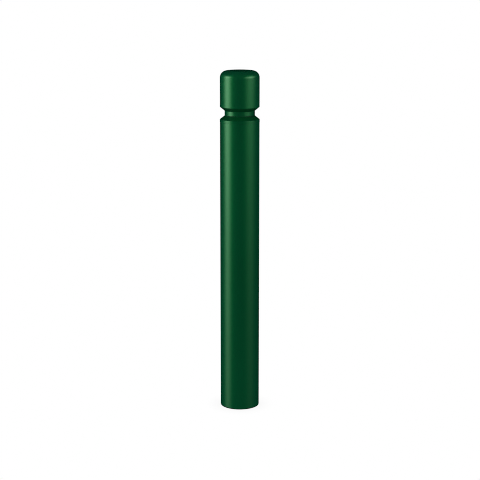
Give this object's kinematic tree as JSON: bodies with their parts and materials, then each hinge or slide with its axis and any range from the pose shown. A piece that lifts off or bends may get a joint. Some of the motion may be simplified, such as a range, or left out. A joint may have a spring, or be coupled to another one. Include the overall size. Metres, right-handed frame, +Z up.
{
  "type": "street bollard",
  "caption": "Round steel street bollard with a groove below a round-edged screw-on head, pulled down onto a hidden base plate by a central tie rod.",
  "frame": {"origin": "on the ground, at the middle of the base", "axes": "+Z up along the post, +Y towards the back, where the head's lock screw is"},
  "size_m": [0.115, 0.115, 1],
  "materials": {
    "green_paint": "satin",
    "zinc_steel": "satin",
    "stainless_steel": "satin",
    "seal_rubber": "matte",
    "green_rubber": "matte"
  },
  "bodies": {
    "post": {"base_plate": "zinc_steel", "locating_ring": "zinc_steel", "rod_boss": "zinc_steel", "foot_seal": "seal_rubber", "body_tube": "green_paint", "shoulder_collar": "green_paint", "tie_rod": "zinc_steel", "jam_nut": "zinc_steel", "clamp_plate": "zinc_steel", "flat_washer": "zinc_steel", "spring_washer": "zinc_steel", "clamp_nut": "zinc_steel"},
    "riser": {"head_seal": "green_rubber"},
    "head": {"head_cap": "green_paint"},
    "lock": {"lock_screw": "stainless_steel"}
  },
  "joints": [
    {"name": "head_rise", "type": "slide", "parent": "post", "child": "riser", "axis": [0, 0, 1], "range_m": [0, 0.0271]},
    {"name": "head_turn", "type": "hinge", "parent": "riser", "child": "head", "pos_m": [0, 0, 0.885], "axis": [0, 0, 1], "range_deg": [0, 1620]},
    {"name": "lock_screw_out", "type": "slide", "parent": "head", "child": "lock", "axis": [0, 1, 0], "range_m": [0, 0.008]}
  ],
  "couplings": [
    {"joint": "head_rise", "follows": "head_turn", "m_per_rad": 0.00095493}
  ]
}
